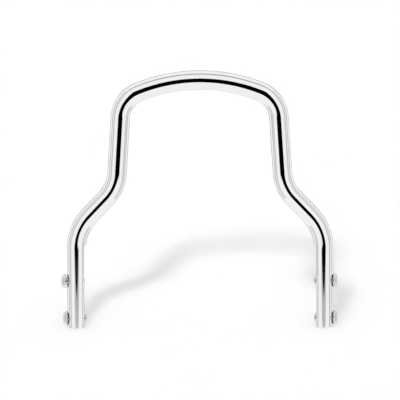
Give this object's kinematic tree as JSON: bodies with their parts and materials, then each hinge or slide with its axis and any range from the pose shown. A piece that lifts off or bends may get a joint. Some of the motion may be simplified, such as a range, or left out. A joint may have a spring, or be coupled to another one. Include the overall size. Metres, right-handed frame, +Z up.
{
  "type": "sissy bar",
  "caption": "Bell-shaped sissy bar hoop bent from solid round chromed bar, its legs milled flat inside and cross-drilled, with a button-head screw in each hole.",
  "frame": {"origin": "on the floor plane under the middle of the crown, halfway between the two legs", "axes": "+X across the legs to the viewer's right, +Y from the front to the back, +Z up from the leg ends to the crown"},
  "size_m": [0.277, 0.019, 0.2624],
  "materials": {
    "bar_chrome": "mirror-polished chrome plate on steel",
    "screw_chrome": "bright chrome plate on steel"
  },
  "bodies": {
    "root": {"bent_bar": "bar_chrome", "upper_left_screw": "screw_chrome", "lower_left_screw": "screw_chrome", "upper_right_screw": "screw_chrome", "lower_right_screw": "screw_chrome"}
  },
  "joints": []
}
